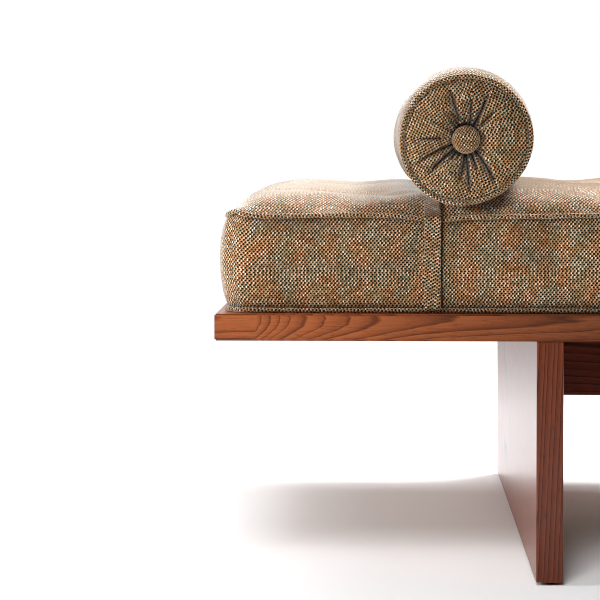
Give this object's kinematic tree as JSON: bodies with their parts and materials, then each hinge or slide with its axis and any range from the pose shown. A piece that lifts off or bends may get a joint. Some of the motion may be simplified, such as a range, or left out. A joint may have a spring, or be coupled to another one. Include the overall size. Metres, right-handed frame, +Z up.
{
  "type": "daybed",
  "caption": "Low daybed: thin wooden platform on two slab legs joined by a stretcher, a piped upholstered mattress, and a round bolster held by a strap.",
  "frame": {"origin": "on the floor, under the middle of the platform", "axes": "+X along the length towards the foot end, +Y towards the back, +Z up; the bolster is at -X"},
  "size_m": [2.04, 0.85, 0.5809],
  "materials": {
    "walnut": "satin",
    "slat_wood": "matte",
    "tweed": "matte",
    "foam": "matte",
    "zinc_steel": "satin",
    "glide_nylon": "matte"
  },
  "bodies": {
    "frame": {"front_rail": "walnut", "back_rail": "walnut", "left_end_rail": "walnut", "right_end_rail": "walnut", "front_slat_ledger": "walnut", "back_slat_ledger": "walnut", "left_leg_panel": "walnut", "right_leg_panel": "walnut", "stretcher": "walnut", "mitre_spline_front_left": "slat_wood", "mitre_spline_back_left": "slat_wood", "mitre_spline_front_right": "slat_wood", "mitre_spline_back_right": "slat_wood", "slat_01": "slat_wood", "slat_02": "slat_wood", "slat_03": "slat_wood", "slat_04": "slat_wood", "slat_05": "slat_wood", "slat_06": "slat_wood", "slat_07": "slat_wood", "slat_08": "slat_wood", "slat_09": "slat_wood", "slat_10": "slat_wood", "slat_11": "slat_wood", "slat_12": "slat_wood", "leg_bolt_front_left": "zinc_steel", "leg_bolt_back_left": "zinc_steel", "leg_bolt_front_right": "zinc_steel", "leg_bolt_back_right": "zinc_steel", "barrel_nut_front_left": "zinc_steel", "barrel_nut_back_left": "zinc_steel", "barrel_nut_front_right": "zinc_steel", "barrel_nut_back_right": "zinc_steel", "glide_front_left": "glide_nylon", "glide_back_left": "glide_nylon", "glide_front_right": "glide_nylon", "glide_back_right": "glide_nylon"},
    "mattress": {"mattress_core": "foam", "mattress_top_panel": "tweed", "mattress_boxing": "tweed", "mattress_bottom_panel": "tweed", "mattress_top_piping": "tweed", "mattress_bottom_piping": "tweed"},
    "bolster": {"bolster_core": "foam", "bolster_cover": "tweed", "bolster_front_gather": "tweed", "bolster_front_piping": "tweed", "bolster_front_button": "tweed", "bolster_back_gather": "tweed", "bolster_back_piping": "tweed", "bolster_back_button": "tweed", "bolster_strap": "tweed", "strap_closure_tab": "tweed"}
  },
  "joints": [
    {"name": "mattress_lift", "type": "slide", "parent": "frame", "child": "mattress", "axis": [0, 0, 1], "range_m": [0, 0.35]},
    {"name": "bolster_slide", "type": "slide", "parent": "mattress", "child": "bolster", "axis": [1, 0, 0], "range_m": [0, 1.44]}
  ]
}
